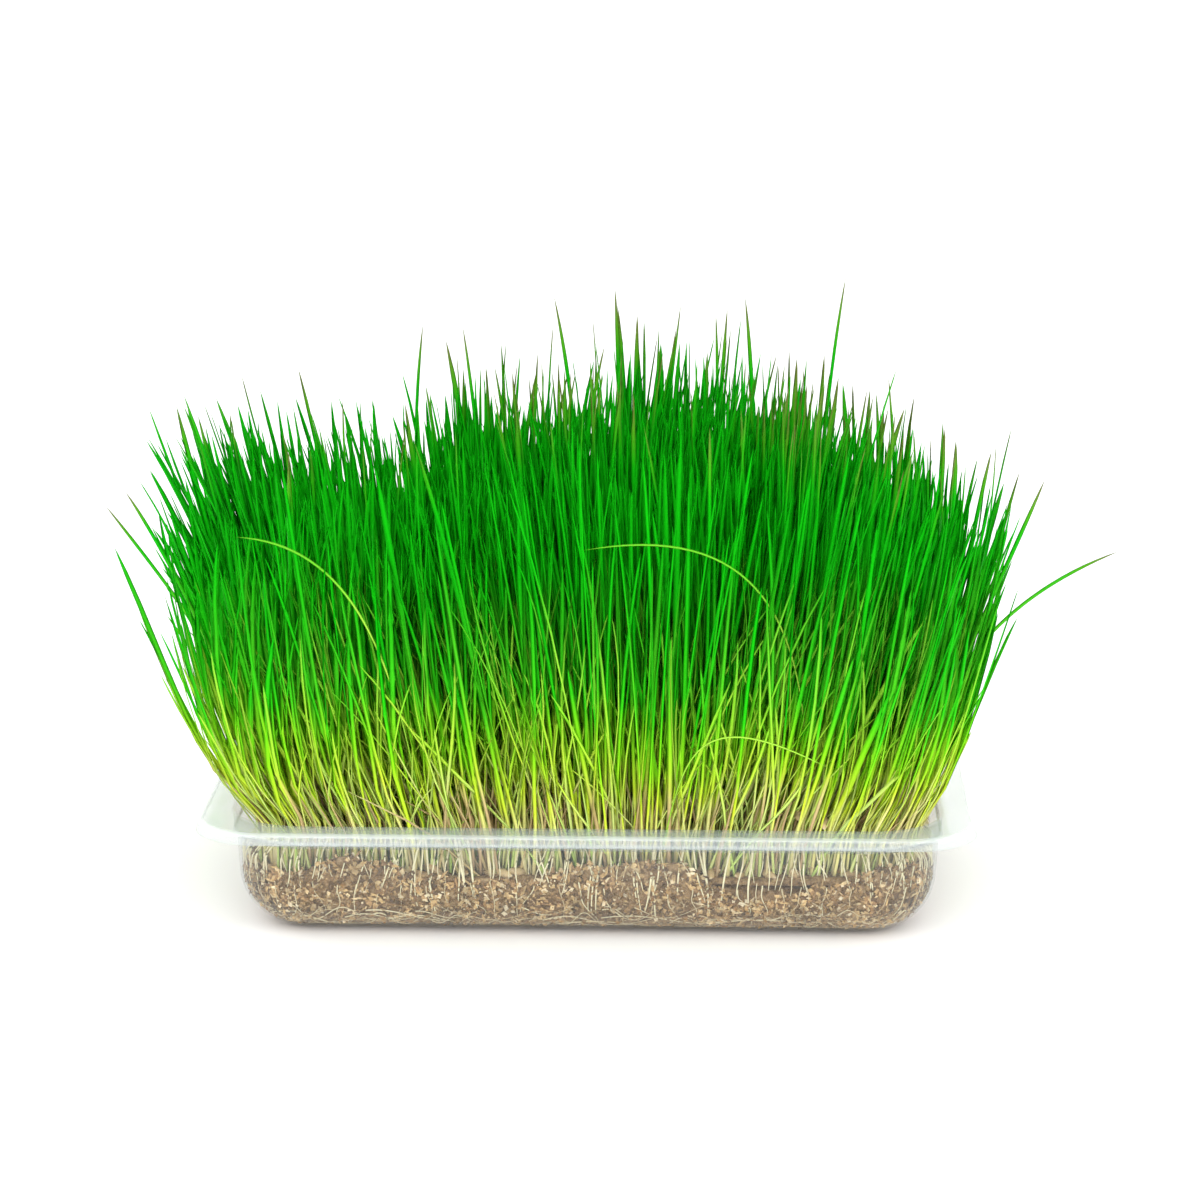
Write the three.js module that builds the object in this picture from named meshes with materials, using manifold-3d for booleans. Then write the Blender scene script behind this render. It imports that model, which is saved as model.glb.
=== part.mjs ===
// A tray of wheatgrass, in millimetres, +Z up, with the origin at the middle of the underside of the tray.
// +X runs along the long side of the tray and -Y is its front.
// A thin clear tray with a turned-down flange holds a loose growing medium. On the medium lies a mat of
// sprouted grains and roots, and every blade grows out of that mat. The mat and its blades are cut into
// rows from front to back, and each row is one piece with its own blades.
import * as THREE from "three";
import { mergeVertices } from "three/addons/utils/BufferGeometryUtils.js";
import Module from "manifold-3d";

const wasm = await Module();
wasm.setup();

// Tray
const RIM_LENGTH = 240; // over the flange, along X
const RIM_DEPTH = 170; // over the flange, along Y
const TRAY_HEIGHT = 37;
const WALL = 0.8;
const FLANGE_WIDTH = 10;
const FLANGE_CORNER = 20; // corner radius of the flange's outer edge, seen from above
const BODY_CORNER = 24; // corner radius of the body under the flange, seen from above
const SKIRT_DROP = 3.6; // the flange's turned-down edge
const SKIRT_FLARE = 0.5;
const SHOULDER_DROP = 6; // the stacking shoulder lies this far under the flange
const SHOULDER_STEP = 0.9;
const WALL_DRAFT = 0.7;
const HEEL_RADIUS = 18.5; // the big round between wall and base
const GROOVE_FROM_EDGE = 8; // the base's stiffening groove, inward from the end of the heel
const GROOVE_WIDTH = 5;
const GROOVE_HEIGHT = 0.8;
const CORNER_STEPS = 5;
const HEEL_STEPS = 5;
const LEAST_CORNER = 4;

// Growing medium and the mat of grains and roots on it
const FIT_GAP = 0.4; // between one piece and the next
const BED_GAP = 0.7; // to the tray, whose round heel is faceted
const BED_FLOOR = 2;
const BED_TOP = 17;
const BED_LEVELS = [BED_FLOOR, 3.5, 6.5, 10.5, 14, BED_TOP]; // heights of its rings of clods
const BED_RELIEF = 0.9; // how far the clods stand back from the tray
const MAT_TOP = 21;
const MAT_EDGE = 3.6; // the mat's edge, inward from the body's top edge
const MAT_RELIEF = 0.9; // how far single grains stand up or sink
const MAT_RINGS = 4;
const LONG_SIDE_STEPS = 9;
const SHORT_SIDE_STEPS = 6;

// Rows and blades
const ROWS = 6;
const ROW_GAP = 0.5;
const ROW_MARGIN = 2.1; // a blade's middle line stays this far inside its own row
const SPOTS = 572; // places tried for a blade; those in the tray's round corners are left out
const EDGE_MARGIN = 5.8; // from the body's top edge to the outermost blades
const ROOT_Z = 18.5; // inside the mat
const BLADE_LEAST = 99;
const BLADE_SPREAD = 32;
const TALL_SHARE = 0.14; // the few that stand well above the rest
const TALL_EXTRA = 24;
const SHORT_SHARE = 0.12;
const SHORT_SCALE = 0.66;
const CREST = 12; // the sward is higher than this on one side of its middle
const CREST_X = 16;
const CREST_SPAN = 30;
const END_DROP = 26; // the sward is lower at its two ends by this much
const TUFT_SWAY = [8, 5]; // how far neighbouring tips lean together from over their roots, along X and Y
const TUFT_SPAN = 26; // the distance over which that lean changes
const TUFT_TWIST = [1.7, 1.3]; // how far its waves are bent, so that no two tufts are alike
const SINGLE_SWAY = [3.5, 2.5]; // how far one tip may differ from its neighbours
const BEND = 5; // extra sideways curve towards the tip, along X
const FAN_HEIGHT = 100; // the spread below is reached this much higher than where it starts
const FAN_FROM = 37.2; // the blades stand upright to here, and spread above the rim
const FAN_POWER = 0.55;
const FAN = 0.12; // all of the sward is wider by this share
const EDGE_LEAN_LEFT = 30; // the outermost blades lean out by this much more
const EDGE_LEAN_RIGHT = 9;
const EDGE_LEAN_DEPTH = 13;
const EDGE_POWER = 2.6;
const BLADE_WIDTH = 2.1;
const BLADE_WIDTH_SPREAD = 0.9;
const BLADE_THICKNESS = 0.75;
const STEM_SHARE = 0.8; // a blade's width at its root, as a share of its full width
const STEM_RISE = 1.2;
const BLADE_STATIONS = [0, 0.66]; // shares of the length, before the tip
const EDGE_ZONE = 17; // blades that root this near to the body's ends bend outward at the rim
const BEND_STATION = 0.14; // the section after that bend, as a share of the length
const STRAY_STATIONS = [0, 0.18, 0.36, 0.53, 0.7, 0.86];
const TANGENT_STEP = 0.05; // the step, as a share of the length, that gives a blade's direction

// Steps that scatter any number of roots evenly over the mat
const SCATTER_X = 0.7548776662;
const SCATTER_Y = 0.569840291;

// What each repeatable number is drawn for
const DRAWN = {
  leanX: 1,
  leanY: 2,
  bend: 3,
  height: 4,
  width: 5,
  turn: 6,
  kind: 7,
  extra: 8,
  clod: 40,
  grain: 50,
};

const BODY_HALF_X = RIM_LENGTH / 2 - FLANGE_WIDTH;
const BODY_HALF_Y = RIM_DEPTH / 2 - FLANGE_WIDTH;
const ROW_DEPTH = (2 * (BODY_HALF_Y - MAT_EDGE)) / ROWS;

// Long stray blades that leave the sward: the row that each grows in and the four points of its curve.
const STRAYS = [
  { row: 1, curve: [[-48, -60, 18.5], [-55, -80, 88], [-66, -90, 128], [-103, -90, 130]] },
  { row: 1, curve: [[67, -60, 18.5], [72, -80, 104], [54, -92, 137], [0, -92, 127]] },
  { row: 1, curve: [[22, -61, 18.5], [30, -84, 62], [31, -95, 84], [74, -92, 61]] },
  { row: 4, curve: [[68, 12, 18.5], [70, 14, 80], [71, 16, 140], [80, 18, 194]] },
  { row: 3, curve: [[98, -12, 18.5], [106, -14, 62], [122, -14, 94], [166, -15, 112]] },
  { row: 3, curve: [[-99, -10, 18.5], [-106, -11, 60], [-130, -12, 92], [-154, -12, 124]] },
  { row: 2, curve: [[97, -34, 18.5], [105, -40, 60], [124, -42, 100], [140, -42, 140]] },
  { row: 5, curve: [[-6, 34, 18.5], [-4, 36, 80], [-3, 38, 130], [-14, 40, 184]] },
  { row: 5, curve: [[45, 32, 18.5], [50, 36, 80], [54, 38, 130], [48, 40, 184]] },
  { row: 2, curve: [[-98, -32, 18.5], [-110, -38, 70], [-128, -40, 110], [-143, -41, 134]] },
  { row: 4, curve: [[-30, 10, 18.5], [-33, 12, 80], [-35, 13, 130], [-42, 14, 178]] },
  { row: 6, curve: [[-55, 60, 18.5], [-60, 72, 80], [-66, 80, 120], [-60, 84, 168]] },
];

// One repeatable number from 0 to 1 for each blade and each purpose.
function draw(index, purpose) {
  const v = Math.sin(index * 12.9898 + purpose * 78.233) * 43758.5453;
  return v - Math.floor(v);
}

// The solid inside a closed mesh.
function solid(geometry) {
  const bare = geometry.clone();
  bare.deleteAttribute("normal");
  bare.deleteAttribute("uv");
  const merged = mergeVertices(bare, 1e-4);
  return new wasm.Manifold(
    new wasm.Mesh({
      numProp: 3,
      vertProperties: merged.attributes.position.array,
      triVerts: new Uint32Array(merged.index.array),
    }),
  );
}

// The mesh around a solid.
function geometryOf(body) {
  const mesh = body.getMesh();
  const geometry = new THREE.BufferGeometry();
  geometry.setAttribute("position", new THREE.BufferAttribute(mesh.vertProperties, 3));
  geometry.setIndex(new THREE.BufferAttribute(mesh.triVerts, 1));
  geometry.computeVertexNormals();
  return geometry;
}

// Points round a rectangle with round corners, counter-clockwise from above, with extra points on
// its sides.
function ring(halfX, halfY, radius, z, longSteps = 1, shortSteps = 1) {
  const points = [];
  const corners = [
    [halfX - radius, halfY - radius, 0, longSteps],
    [radius - halfX, halfY - radius, 1, shortSteps],
    [radius - halfX, radius - halfY, 2, longSteps],
    [halfX - radius, radius - halfY, 3, shortSteps],
  ];
  corners.forEach(([cx, cy, quarter, sideSteps], n) => {
    for (let i = 0; i <= CORNER_STEPS; i++) {
      const a = ((quarter + i / CORNER_STEPS) * Math.PI) / 2;
      points.push(new THREE.Vector3(cx + radius * Math.cos(a), cy + radius * Math.sin(a), z));
    }
    const [nx, ny] = corners[(n + 1) % 4];
    const end = ((quarter + 1) * Math.PI) / 2;
    const from = new THREE.Vector3(cx + radius * Math.cos(end), cy + radius * Math.sin(end), z);
    const to = new THREE.Vector3(nx + radius * Math.cos(end), ny + radius * Math.sin(end), z);
    for (let i = 1; i < sideSteps; i++) points.push(from.clone().lerp(to, i / sideSteps));
  });
  return points;
}

// A closed mesh through rings of equally many points, closed by a point in the middle of each end.
function loft(rings, startCentre, endCentre) {
  const count = rings[0].length;
  const points = [...rings.flat(), startCentre, endCentre];
  const index = [];
  for (let r = 0; r + 1 < rings.length; r++) {
    for (let i = 0; i < count; i++) {
      const a = r * count + i;
      const b = r * count + ((i + 1) % count);
      index.push(a, b, b + count, a, b + count, a + count);
    }
  }
  const start = points.length - 2;
  const last = (rings.length - 1) * count;
  for (let i = 0; i < count; i++) {
    const next = (i + 1) % count;
    index.push(start, next, i, start + 1, last + i, last + next);
  }
  return new THREE.BufferGeometry().setFromPoints(points).setIndex(index);
}

// A ring of the tray at a distance outward from the body's top edge. The flange's corners are tighter.
function trayRing([out, z], longSteps, shortSteps) {
  const onFlange = BODY_CORNER + ((FLANGE_CORNER - BODY_CORNER) * out) / FLANGE_WIDTH;
  const radius = out < 0 ? Math.max(LEAST_CORNER, BODY_CORNER + out) : onFlange;
  return ring(BODY_HALF_X + out, BODY_HALF_Y + out, radius, z, longSteps, shortSteps);
}

// The tray's outer face from the base to the edge of the skirt, as [outward, up] points.
function trayOutline() {
  const heelEnd = -WALL_DRAFT - SHOULDER_STEP;
  const heelStart = heelEnd - HEEL_RADIUS;
  const grooveOuter = heelStart - GROOVE_FROM_EDGE;
  const grooveInner = grooveOuter - GROOVE_WIDTH;
  const shoulder = TRAY_HEIGHT - SHOULDER_DROP;
  const outline = [
    [grooveInner, 0],
    [grooveInner + GROOVE_HEIGHT, GROOVE_HEIGHT],
    [grooveOuter - GROOVE_HEIGHT, GROOVE_HEIGHT],
    [grooveOuter, 0],
  ];
  for (let i = 0; i <= HEEL_STEPS; i++) {
    const a = (i / HEEL_STEPS) * (Math.PI / 2);
    outline.push([heelStart + HEEL_RADIUS * Math.sin(a), HEEL_RADIUS * (1 - Math.cos(a))]);
  }
  outline.push([-SHOULDER_STEP, shoulder - SHOULDER_STEP], [0, shoulder], [0, TRAY_HEIGHT - WALL]);
  outline.push([FLANGE_WIDTH - WALL - SKIRT_FLARE, TRAY_HEIGHT - WALL]);
  outline.push([FLANGE_WIDTH - WALL, TRAY_HEIGHT - SKIRT_DROP]);
  return outline;
}

// The same outline moved by a distance to its inner side, with its corners kept sharp.
function moved(outline, distance) {
  const normals = outline.slice(1).map(([x, z], i) => {
    const length = Math.hypot(x - outline[i][0], z - outline[i][1]);
    return [-(z - outline[i][1]) / length, (x - outline[i][0]) / length];
  });
  return outline.map(([x, z], i) => {
    const before = normals[Math.max(0, i - 1)];
    const after = normals[Math.min(normals.length - 1, i)];
    const sum = [before[0] + after[0], before[1] + after[1]];
    const scale = (2 * distance) / (sum[0] ** 2 + sum[1] ** 2);
    return [x + sum[0] * scale, z + sum[1] * scale];
  });
}

function trayGeometry() {
  const outer = trayOutline();
  const inner = moved(outer, WALL).reverse();
  const rings = [...outer, ...inner].map((point) => trayRing(point));
  return loft(rings, new THREE.Vector3(0, 0, 0), new THREE.Vector3(0, 0, WALL));
}

// How far the round heel's inner side stands out at a height, with a gap kept to it.
function heelPoint(z) {
  const radius = HEEL_RADIUS - WALL - BED_GAP;
  const middle = -WALL_DRAFT - SHOULDER_STEP - HEEL_RADIUS;
  return [middle + Math.sqrt(radius ** 2 - (HEEL_RADIUS - z) ** 2), z];
}

// The loose medium fills the tray's round bottom. Its clods stand back from the wall by an uneven amount.
function mediumGeometry() {
  const rings = BED_LEVELS.map((z, r) => {
    const [out] = heelPoint(z);
    const clear = trayRing([out, z], LONG_SIDE_STEPS, SHORT_SIDE_STEPS);
    return clear.map((p, i) => {
      const back = 1 - (BED_RELIEF * draw(i, DRAWN.clod + r)) / BODY_HALF_Y;
      return new THREE.Vector3(p.x * back, p.y * back, z);
    });
  });
  return loft(rings, new THREE.Vector3(0, 0, BED_FLOOR), new THREE.Vector3(0, 0, BED_TOP));
}

// The mat lies flat on the medium, and single grains make its top uneven.
function matGeometry() {
  const low = BED_TOP + FIT_GAP;
  const rings = [trayRing([-MAT_EDGE, low], LONG_SIDE_STEPS, SHORT_SIDE_STEPS)];
  for (let r = 0; r < MAT_RINGS; r++) {
    const share = 1 - r / MAT_RINGS;
    const edge = trayRing([-MAT_EDGE, MAT_TOP], LONG_SIDE_STEPS, SHORT_SIDE_STEPS);
    rings.push(
      edge.map((p, i) => {
        const grain = (draw(i, DRAWN.grain + r) - 0.5) * 2 * MAT_RELIEF;
        return new THREE.Vector3(p.x * share, p.y * share, MAT_TOP + (r === 0 ? -Math.abs(grain) : grain));
      }),
    );
  }
  return loft(rings, new THREE.Vector3(0, 0, low), new THREE.Vector3(0, 0, MAT_TOP));
}

// Which row a place belongs to, from 1 at the front.
function rowAt(y) {
  const row = Math.floor(y / ROW_DEPTH + ROWS / 2) + 1;
  return Math.min(ROWS, Math.max(1, row));
}

// A distance from the middle, kept inside its row.
function keptInRow(y, row) {
  const front = (row - 1 - ROWS / 2) * ROW_DEPTH;
  return Math.min(front + ROW_DEPTH - ROW_MARGIN, Math.max(front + ROW_MARGIN, y));
}

// Evenly scattered roots inside the round-cornered tray.
function roots() {
  const halfX = BODY_HALF_X - EDGE_MARGIN;
  const halfY = BODY_HALF_Y - EDGE_MARGIN;
  const corner = BODY_CORNER - EDGE_MARGIN;
  const found = [];
  for (let i = 1; i <= SPOTS; i++) {
    const x = ((i * SCATTER_X) % 1 - 0.5) * 2 * halfX;
    const y = ((i * SCATTER_Y) % 1 - 0.5) * 2 * halfY;
    const overX = Math.max(0, Math.abs(x) - halfX + corner);
    const overY = Math.max(0, Math.abs(y) - halfY + corner);
    if (Math.hypot(overX, overY) > corner) continue;
    const row = rowAt(y);
    found.push({ index: i, x, y: keptInRow(y, row), row });
  }
  return found;
}

// The sward opens like a fan with height, and most at its edges. The distance and its reach lie
// along one axis.
function fanned(distance, reach, edgeLean, rise) {
  const edge = edgeLean * (Math.abs(distance) / reach) ** EDGE_POWER * Math.sign(distance);
  return distance + (FAN * distance + edge) * rise;
}

function bladeHeight({ index, x }) {
  const ends = END_DROP * (Math.abs(x) / BODY_HALF_X) ** 4;
  const crest = CREST * Math.exp(-(((x - CREST_X) / CREST_SPAN) ** 2));
  let height = BLADE_LEAST + BLADE_SPREAD * draw(index, DRAWN.height) - ends + crest;
  if (draw(index, DRAWN.kind) < TALL_SHARE) height += TALL_EXTRA * draw(index, DRAWN.extra);
  if (draw(index, DRAWN.kind) > 1 - SHORT_SHARE) height *= SHORT_SCALE;
  return height;
}

// Where a blade's sections lie, as shares of its length, before its tip.
function bladeStations(blade) {
  if (Math.abs(blade.x) < BODY_HALF_X - EDGE_ZONE) return BLADE_STATIONS;
  const rim = (FAN_FROM - ROOT_Z) / bladeHeight(blade);
  return [0, rim, rim + BEND_STATION, BLADE_STATIONS[1]];
}

// A blade's middle line: it leans from its root, bends more towards its tip, and is spread by the fan.
function bladeLine(blade) {
  const { index, x, y, row } = blade;
  const tuftX = TUFT_SWAY[0] * Math.sin(x / TUFT_SPAN + TUFT_TWIST[0] * Math.sin(y / TUFT_SPAN));
  const tuftY = TUFT_SWAY[1] * Math.cos(y / TUFT_SPAN - TUFT_TWIST[1] * Math.sin(x / TUFT_SPAN));
  const leanX = tuftX + (draw(index, DRAWN.leanX) - 0.5) * 2 * SINGLE_SWAY[0];
  const leanY = keptInRow(y + tuftY + (draw(index, DRAWN.leanY) - 0.5) * 2 * SINGLE_SWAY[1], row) - y;
  const bend = (draw(index, DRAWN.bend) - 0.5) * 2 * BEND;
  const height = bladeHeight(blade);
  const edgeLean = x < 0 ? EDGE_LEAN_LEFT : EDGE_LEAN_RIGHT;
  return (t) => {
    const z = ROOT_Z + height * t;
    const rise = (Math.max(0, z - FAN_FROM) / FAN_HEIGHT) ** FAN_POWER;
    const atX = fanned(x + leanX * t + bend * t ** 3, BODY_HALF_X, edgeLean, rise);
    const atY = fanned(y + leanY * t, BODY_HALF_Y, EDGE_LEAN_DEPTH, rise);
    return new THREE.Vector3(atX, atY, z);
  };
}

// A three-sided blade along a middle line: two edges and a raised rib, tapering to one tip.
function bladeGeometry(line, index, stations) {
  const width = BLADE_WIDTH + BLADE_WIDTH_SPREAD * draw(index, DRAWN.width);
  const turn = Math.PI * draw(index, DRAWN.turn);
  const points = [];
  for (const t of stations) {
    const centre = line(t);
    const along = line(t + TANGENT_STEP).sub(line(t - TANGENT_STEP)).normalize();
    const side = new THREE.Vector3(Math.cos(turn), Math.sin(turn), 0);
    side.addScaledVector(along, -side.dot(along)).normalize();
    const face = along.clone().cross(side);
    const half = (width / 2) * Math.min(1, STEM_SHARE + t / STEM_RISE);
    points.push(centre.clone().addScaledVector(side, half));
    points.push(centre.clone().addScaledVector(face, BLADE_THICKNESS));
    points.push(centre.clone().addScaledVector(side, -half));
  }
  points.push(line(1));
  const index3 = [0, 2, 1];
  const last = stations.length - 1;
  for (let r = 0; r < last; r++) {
    for (let i = 0; i < 3; i++) {
      const a = r * 3 + i;
      const b = r * 3 + ((i + 1) % 3);
      index3.push(a, b, b + 3, a, b + 3, a + 3);
    }
  }
  for (let i = 0; i < 3; i++) index3.push(last * 3 + i, last * 3 + ((i + 1) % 3), points.length - 1);
  return new THREE.BufferGeometry().setFromPoints(points).setIndex(index3);
}

// The strip of the mat that belongs to a row.
function matStrip(mat, row) {
  const strip = new THREE.BoxGeometry(RIM_LENGTH, ROW_DEPTH - ROW_GAP, TRAY_HEIGHT);
  strip.translate(0, (row - 0.5 - ROWS / 2) * ROW_DEPTH, TRAY_HEIGHT / 2);
  return mat.intersect(solid(strip));
}

const clearPlastic = new THREE.MeshStandardMaterial({
  color: 0xe4eeea,
  roughness: 0.12,
  metalness: 0,
  transparent: true,
  opacity: 0.35,
});
const medium = new THREE.MeshStandardMaterial({ color: 0x9a7d5b, roughness: 0.95, metalness: 0 });
const grass = new THREE.MeshStandardMaterial({ color: 0x2f9a14, roughness: 0.55, metalness: 0 });

const wheatgrass = new THREE.Group();

function addPart(name, geometry, material) {
  const mesh = new THREE.Mesh(geometry, material);
  mesh.name = name;
  wheatgrass.add(mesh);
}

addPart("tray", trayGeometry(), clearPlastic);
addPart("growing_medium", mediumGeometry(), medium);

const mat = solid(matGeometry());
const blades = roots();
for (let row = 1; row <= ROWS; row++) {
  let body = matStrip(mat, row);
  for (const blade of blades.filter((b) => b.row === row)) {
    body = body.add(solid(bladeGeometry(bladeLine(blade), blade.index, bladeStations(blade))));
  }
  STRAYS.forEach((stray, n) => {
    if (stray.row !== row) return;
    const curve = new THREE.CubicBezierCurve3(...stray.curve.map((p) => new THREE.Vector3(...p)));
    body = body.add(solid(bladeGeometry((t) => curve.getPoint(t), SPOTS + n + 1, STRAY_STATIONS)));
  });
  addPart("grass_row_" + row, geometryOf(body), grass);
}

export default wheatgrass;
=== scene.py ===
import math
from types import SimpleNamespace

import bpy
import numpy as np
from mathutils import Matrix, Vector


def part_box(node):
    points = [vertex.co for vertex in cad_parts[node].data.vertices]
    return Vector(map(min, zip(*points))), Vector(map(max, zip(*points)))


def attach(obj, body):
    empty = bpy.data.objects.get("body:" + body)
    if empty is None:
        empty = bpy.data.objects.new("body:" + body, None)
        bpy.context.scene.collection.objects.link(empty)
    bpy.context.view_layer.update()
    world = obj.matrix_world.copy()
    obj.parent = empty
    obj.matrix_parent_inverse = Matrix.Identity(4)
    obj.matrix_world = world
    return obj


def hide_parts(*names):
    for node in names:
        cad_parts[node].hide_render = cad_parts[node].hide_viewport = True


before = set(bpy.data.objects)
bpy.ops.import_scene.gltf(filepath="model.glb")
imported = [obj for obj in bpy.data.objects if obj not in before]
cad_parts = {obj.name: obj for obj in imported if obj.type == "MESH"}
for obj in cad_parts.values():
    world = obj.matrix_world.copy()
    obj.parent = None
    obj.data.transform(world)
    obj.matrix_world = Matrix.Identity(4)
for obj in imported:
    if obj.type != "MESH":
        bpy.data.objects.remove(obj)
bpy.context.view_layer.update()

# A tray of wheatgrass. Lengths are in millimetres until a mesh is made from them, and +Z is up.
MM = 0.001

# The tray, as its node has it
tray_low, tray_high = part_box("tray")
RIM_LENGTH = (tray_high.x - tray_low.x) / MM
RIM_DEPTH = (tray_high.y - tray_low.y) / MM
TRAY_HEIGHT = tray_high.z / MM
WALL = 0.8
FLANGE_WIDTH = 10
FLANGE_CORNER = 20
BODY_CORNER = 24
SKIRT_DROP = 3.6
SKIRT_FLARE = 0.5
SKIRT_TIP = 0.3  # how far the skirt's round edge stands out, as a share of the wall
SHOULDER_DROP = 6
SHOULDER_STEP = 0.9
WALL_DRAFT = 0.7
HEEL_RADIUS = 18.5
HEEL_STEPS = 20
BEND_STEPS = 5
GROOVE_FROM_EDGE = 8
GROOVE_WIDTH = 5
GROOVE_HEIGHT = 0.8
GROOVE_INSIDE = 6  # the flat stretch that is drawn inward of the groove
LEAST_CORNER = 4
BODY_HALF_X = RIM_LENGTH / 2 - FLANGE_WIDTH
BODY_HALF_Y = RIM_DEPTH / 2 - FLANGE_WIDTH
HEEL_END = -WALL_DRAFT - SHOULDER_STEP
HEEL_START = HEEL_END - HEEL_RADIUS
SHOULDER_Z = TRAY_HEIGHT - SHOULDER_DROP

# The growing medium and the mat of grains on it
BED_FLOOR = 2
BED_TOP = 17
HEAP_GAP = 1.4  # between the tray's wall and the heap, where the chips are
HEAP_EDGE_RISE = 3.4  # the heap stands this much higher against the wall
MAT_TOP = 21
MAT_EDGE = 3.6
CAUGHT_SHARE = 0.1  # the grains near the front and back that the stalks have lifted above the rim
CAUGHT_STRIP = 10
CAUGHT_Z = (37, 46)
CHIP_THICKNESS = 0.45
CHIP_INSET = (0.2, 0.95)  # from the wall to the chips' middles
PHASE_SPREAD = 6  # in radians, so a thread's waves may start anywhere

# The blades, by the rule that the rows' nodes follow
ROWS = 6
ROW_DEPTH = 2 * (BODY_HALF_Y - MAT_EDGE) / ROWS
EDGE_MARGIN = 5.8
ROOT_Z = 18.5
BLADE_LEAST = 99
BLADE_SPREAD = 32
TALL_SHARE = 0.14
TALL_EXTRA = 24
SHORT_SHARE = 0.12
SHORT_SCALE = 0.66
CREST = 12
CREST_X = 16
CREST_SPAN = 30
END_DROP = 26
TUFT_SWAY = (8, 5)
TUFT_SPAN = 26
TUFT_TWIST = (1.7, 1.3)
SINGLE_SWAY = (3.5, 2.5)
BEND = 5
FAN_HEIGHT = 100
FAN_FROM = 37.2
FAN_POWER = 0.55
FAN = 0.12
EDGE_LEAN_LEFT = 30
EDGE_LEAN_RIGHT = 9
EDGE_LEAN_DEPTH = 13
EDGE_POWER = 2.6
SCATTER = (0.7548776662, 0.569840291)
NODE_BLADES = 572  # the blades with these first numbers are in the rows' nodes too

# What the finer sward adds
BLADES = 8000
WILD_SHARE_FRONT = 0.56  # lower light blades that cross the others
WILD_SHARE = 0.1
WILD_LEAN = 28
WILD_DEPTH = 0.6  # how much of that lean they have from front to back
WILD_HEIGHT = (0.34, 0.95)
WILD_BEND = 2.2
WILD_WIDTH = 0.68
FRONT_ROWS = 2
FRONT_WIDTH = 0.88
CLUMP_SIZE = 8  # some clumps of the finer blades stand above the others
CLUMP_DEPTH = 0.3  # a clump is longer from front to back, by one over this
CLUMP_EXTRA = 25
BETWEEN_CLUMPS = 9  # how much lower the blades between clumps are
LEFT_DROPS = ((10, 40, 5), (62, 95, 8))  # and how much lower they get over these stretches to the left
ROOTS_GATHERED = 0.02  # the roots are nearer the middle by this share, so the blades lean out from them
FREE_SWAY = (13, 7)  # how far a finer blade's tip may stray from its tuft
BLADE_WIDTH = (0.95, 2.2)
SHEATH_WIDTH = 0.78  # of the blade's own width
SHEATH_THICKNESS = 0.60
LEAF_THICKNESS = 0.14
LEAF_FOLD = 0.42  # how far the edges stand out of the keel, of half the width
TAPER_FROM = 0.84
WITHERED_FROM = (-4, 11)  # tips from so far under the usual height to so far over it are drier
BLADE_RINGS = (0, 0.08, 0.17, 0.3, 0.47, 0.64, 0.82, 0.92, 0.975)
STRAY_RINGS = 34
STRAY_WIDTH = (1.05, 1.45)
STRAY_THINNER = 0.5  # those of the front row

# Repeatable numbers, and what each is drawn for
DRAW_BY_INDEX = 12.9898
DRAW_BY_PURPOSE = 78.233
DRAW_SCALE = 43758.5453
LATTICE_STEPS = (3.17, 7.31, 5.77)


def numbered(first, names):
    """A number for each name, counted up from the first."""
    return {name: first + n for n, name in enumerate(names.split())}


BLADE_DRAWS = numbered(1, "lean_x lean_y bend height width turn kind extra")
BLADE_DRAWS |= numbered(9, "wild wild_x wild_y wild_height twist tint wither")
BLADE_DRAWS["light"] = 17
LUMPS_OF = numbered(31, "heap_gap heap_gap_fine heap_top heap_top_fine heap_edge heap_edge_fine")
LUMPS_OF |= numbered(41, "mat_top mat_top_fine mat_edge_fine mat_edge clumps")
WALL_ROOT_DRAWS = numbered(61, "high low ease wander wave phase inset radius tint")
BASE_ROOT_DRAWS = numbered(71, "length height wave phase inset radius tint swing")
GRAIN_DRAWS = numbered(81, "lift heading pitch size tint caught caught_z")
STEM_DRAWS = numbered(91, "place low lean wave phase radius tint long")
CHIP_DRAWS = "place inset tilt_x tilt_y tilt_z length width spin tint"

# Long blades that leave the sward: the row that each grows in and the four points of its curve
STRAYS = (
    (1, ((-48, -60, 18.5), (-55, -80, 88), (-66, -90, 128), (-103, -90, 130))),
    (1, ((67, -60, 18.5), (72, -80, 104), (54, -92, 137), (0, -92, 127))),
    (1, ((22, -61, 18.5), (30, -84, 62), (31, -95, 84), (74, -92, 61))),
    (4, ((68, 12, 18.5), (70, 14, 80), (71, 16, 140), (80, 18, 194))),
    (3, ((98, -12, 18.5), (106, -14, 62), (122, -14, 94), (166, -15, 112))),
    (3, ((-99, -10, 18.5), (-106, -11, 60), (-130, -12, 92), (-154, -12, 124))),
    (2, ((97, -34, 18.5), (105, -40, 60), (124, -42, 100), (140, -42, 140))),
    (5, ((-6, 34, 18.5), (-4, 36, 80), (-3, 38, 130), (-14, 40, 184))),
    (5, ((45, 32, 18.5), (50, 36, 80), (54, 38, 130), (48, 40, 184))),
    (2, ((-98, -32, 18.5), (-110, -38, 70), (-128, -40, 110), (-143, -41, 134))),
    (4, ((-30, 10, 18.5), (-33, 12, 80), (-35, 13, 130), (-42, 14, 178))),
    (6, ((-55, 60, 18.5), (-60, 72, 80), (-66, 80, 120), (-60, 84, 168))),
)


def draw(index, purpose):
    """One repeatable number from 0 to 1 for each index: the sine of the index and the purpose, each times a
    fixed number, is made very large, and what it has past its whole number is kept."""
    value = np.sin(index * DRAW_BY_INDEX + purpose * DRAW_BY_PURPOSE) * DRAW_SCALE
    return value - np.floor(value)


def draw_all(index, purposes):
    """The repeatable numbers of each index for every named purpose."""
    return SimpleNamespace(**{name: draw(index, number) for name, number in purposes.items()})


def between(ends, share):
    """What lies at a share of the way from the first end to the second."""
    return ends[0] + (ends[1] - ends[0]) * share


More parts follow.
